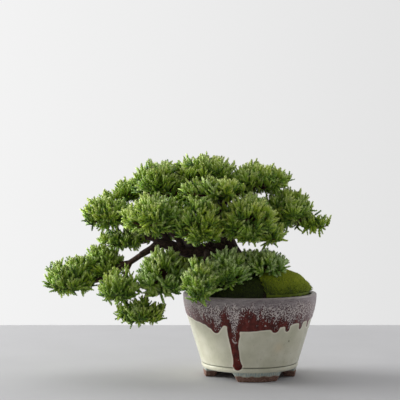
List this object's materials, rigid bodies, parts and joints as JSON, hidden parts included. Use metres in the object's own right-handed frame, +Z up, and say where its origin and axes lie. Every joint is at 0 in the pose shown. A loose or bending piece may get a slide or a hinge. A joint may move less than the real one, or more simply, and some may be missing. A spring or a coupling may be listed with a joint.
{
  "type": "bonsai tree in a pot",
  "caption": "Juniper bonsai with a leaning trunk and spreading foliage pads, growing from a mossed mound of soil in a round footed pot with drip glaze.",
  "frame": {"origin": "on the ground plane under the pot's feet, at the middle of the whole plant's bounding box in X and Y", "axes": "+Z up, +X towards the pot's side of the tree (the crown leans towards -X), -Y towards the front of the tree"},
  "size_m": [0.28, 0.182, 0.221],
  "materials": {
    "stoneware_glaze": "gloss",
    "screen_plastic": "matte",
    "lava_grit": "matte",
    "rootball_soil": "matte",
    "moss": "matte",
    "trunk_bark": "matte",
    "branch_bark": "matte",
    "juniper_foliage": "matte"
  },
  "bodies": {
    "root": {"branch_back_left": "branch_bark", "branch_back_low": "branch_bark", "branch_back_right": "branch_bark", "branch_back_upper": "branch_bark", "branch_centre_low": "branch_bark", "branch_crown_left": "branch_bark", "branch_crown_right": "branch_bark", "branch_droop": "branch_bark", "branch_front_centre": "branch_bark", "branch_front_left": "branch_bark", "branch_front_low": "branch_bark", "branch_front_right": "branch_bark", "branch_front_upper": "branch_bark", "branch_left_low": "branch_bark", "branch_left_shoulder": "branch_bark", "branch_left_under": "branch_bark", "branch_left_upper": "branch_bark", "branch_mid_low": "branch_bark", "branch_right_low": "branch_bark", "branch_right_tip": "branch_bark", "branch_right_under": "branch_bark", "branch_rim": "branch_bark", "branch_tip_low_left": "branch_bark", "drain_screen": "screen_plastic", "drainage_grit": "lava_grit", "foliage_back_left": "juniper_foliage", "foliage_back_low": "juniper_foliage", "foliage_back_right": "juniper_foliage", "foliage_back_upper": "juniper_foliage", "foliage_centre_low": "juniper_foliage", "foliage_crown_left": "juniper_foliage", "foliage_crown_right": "juniper_foliage", "foliage_crown_top": "juniper_foliage", "foliage_droop": "juniper_foliage", "foliage_front_centre": "juniper_foliage", "foliage_front_left": "juniper_foliage", "foliage_front_right": "juniper_foliage", "foliage_front_upper": "juniper_foliage", "foliage_left_front_low": "juniper_foliage", "foliage_left_low": "juniper_foliage", "foliage_left_shoulder": "juniper_foliage", "foliage_left_under": "juniper_foliage", "foliage_left_upper": "juniper_foliage", "foliage_mid_low": "juniper_foliage", "foliage_right_end": "juniper_foliage", "foliage_right_low": "juniper_foliage", "foliage_right_tip": "juniper_foliage", "foliage_right_under": "juniper_foliage", "foliage_rim": "juniper_foliage", "foliage_tip_low_left": "juniper_foliage", "limb_left": "branch_bark", "moss_cushion_right": "moss", "moss_patch_back": "moss", "moss_patch_front": "moss", "moss_patch_left": "moss", "pot": "stoneware_glaze", "soil": "rootball_soil", "trunk": "trunk_bark"}
  },
  "joints": []
}
